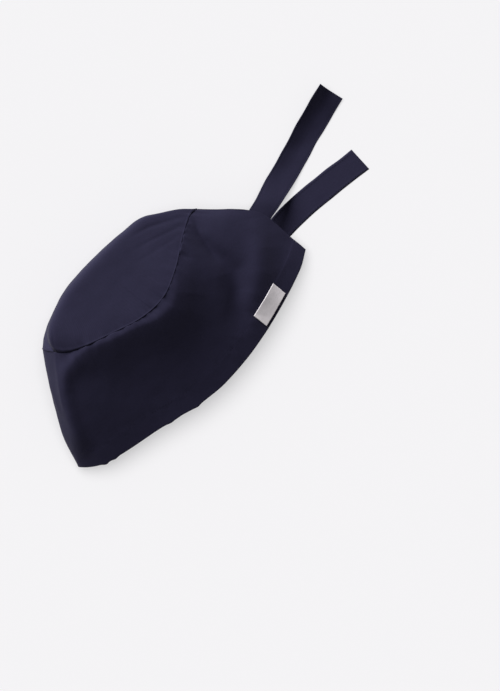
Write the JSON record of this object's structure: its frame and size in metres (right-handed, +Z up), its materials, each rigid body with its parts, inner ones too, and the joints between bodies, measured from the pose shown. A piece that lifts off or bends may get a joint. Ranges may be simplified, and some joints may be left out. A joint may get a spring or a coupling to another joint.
{
  "type": "tie-back scrub cap",
  "caption": "Soft navy twill cap with an oval crown, a deep side band, a hemmed rim slit at the back and flat straps to tie it, lying on its side.",
  "frame": {"origin": "on the floor, in the middle of the footprint of the cap and its spread ties", "axes": "+X from the front fold to the back slit and along the ties, +Y from the rim to the crown as the cap lies, +Z up from the floor"},
  "size_m": [0.427, 0.1728, 0.0713],
  "materials": {
    "navy_twill": "fine navy cotton twill, matt",
    "woven_label": "off-white woven label, bare"
  },
  "bodies": {
    "root": {"side_band": "navy_twill", "crown_panel": "navy_twill", "tie_left": "navy_twill", "tie_right": "navy_twill", "label": "woven_label"}
  },
  "joints": []
}
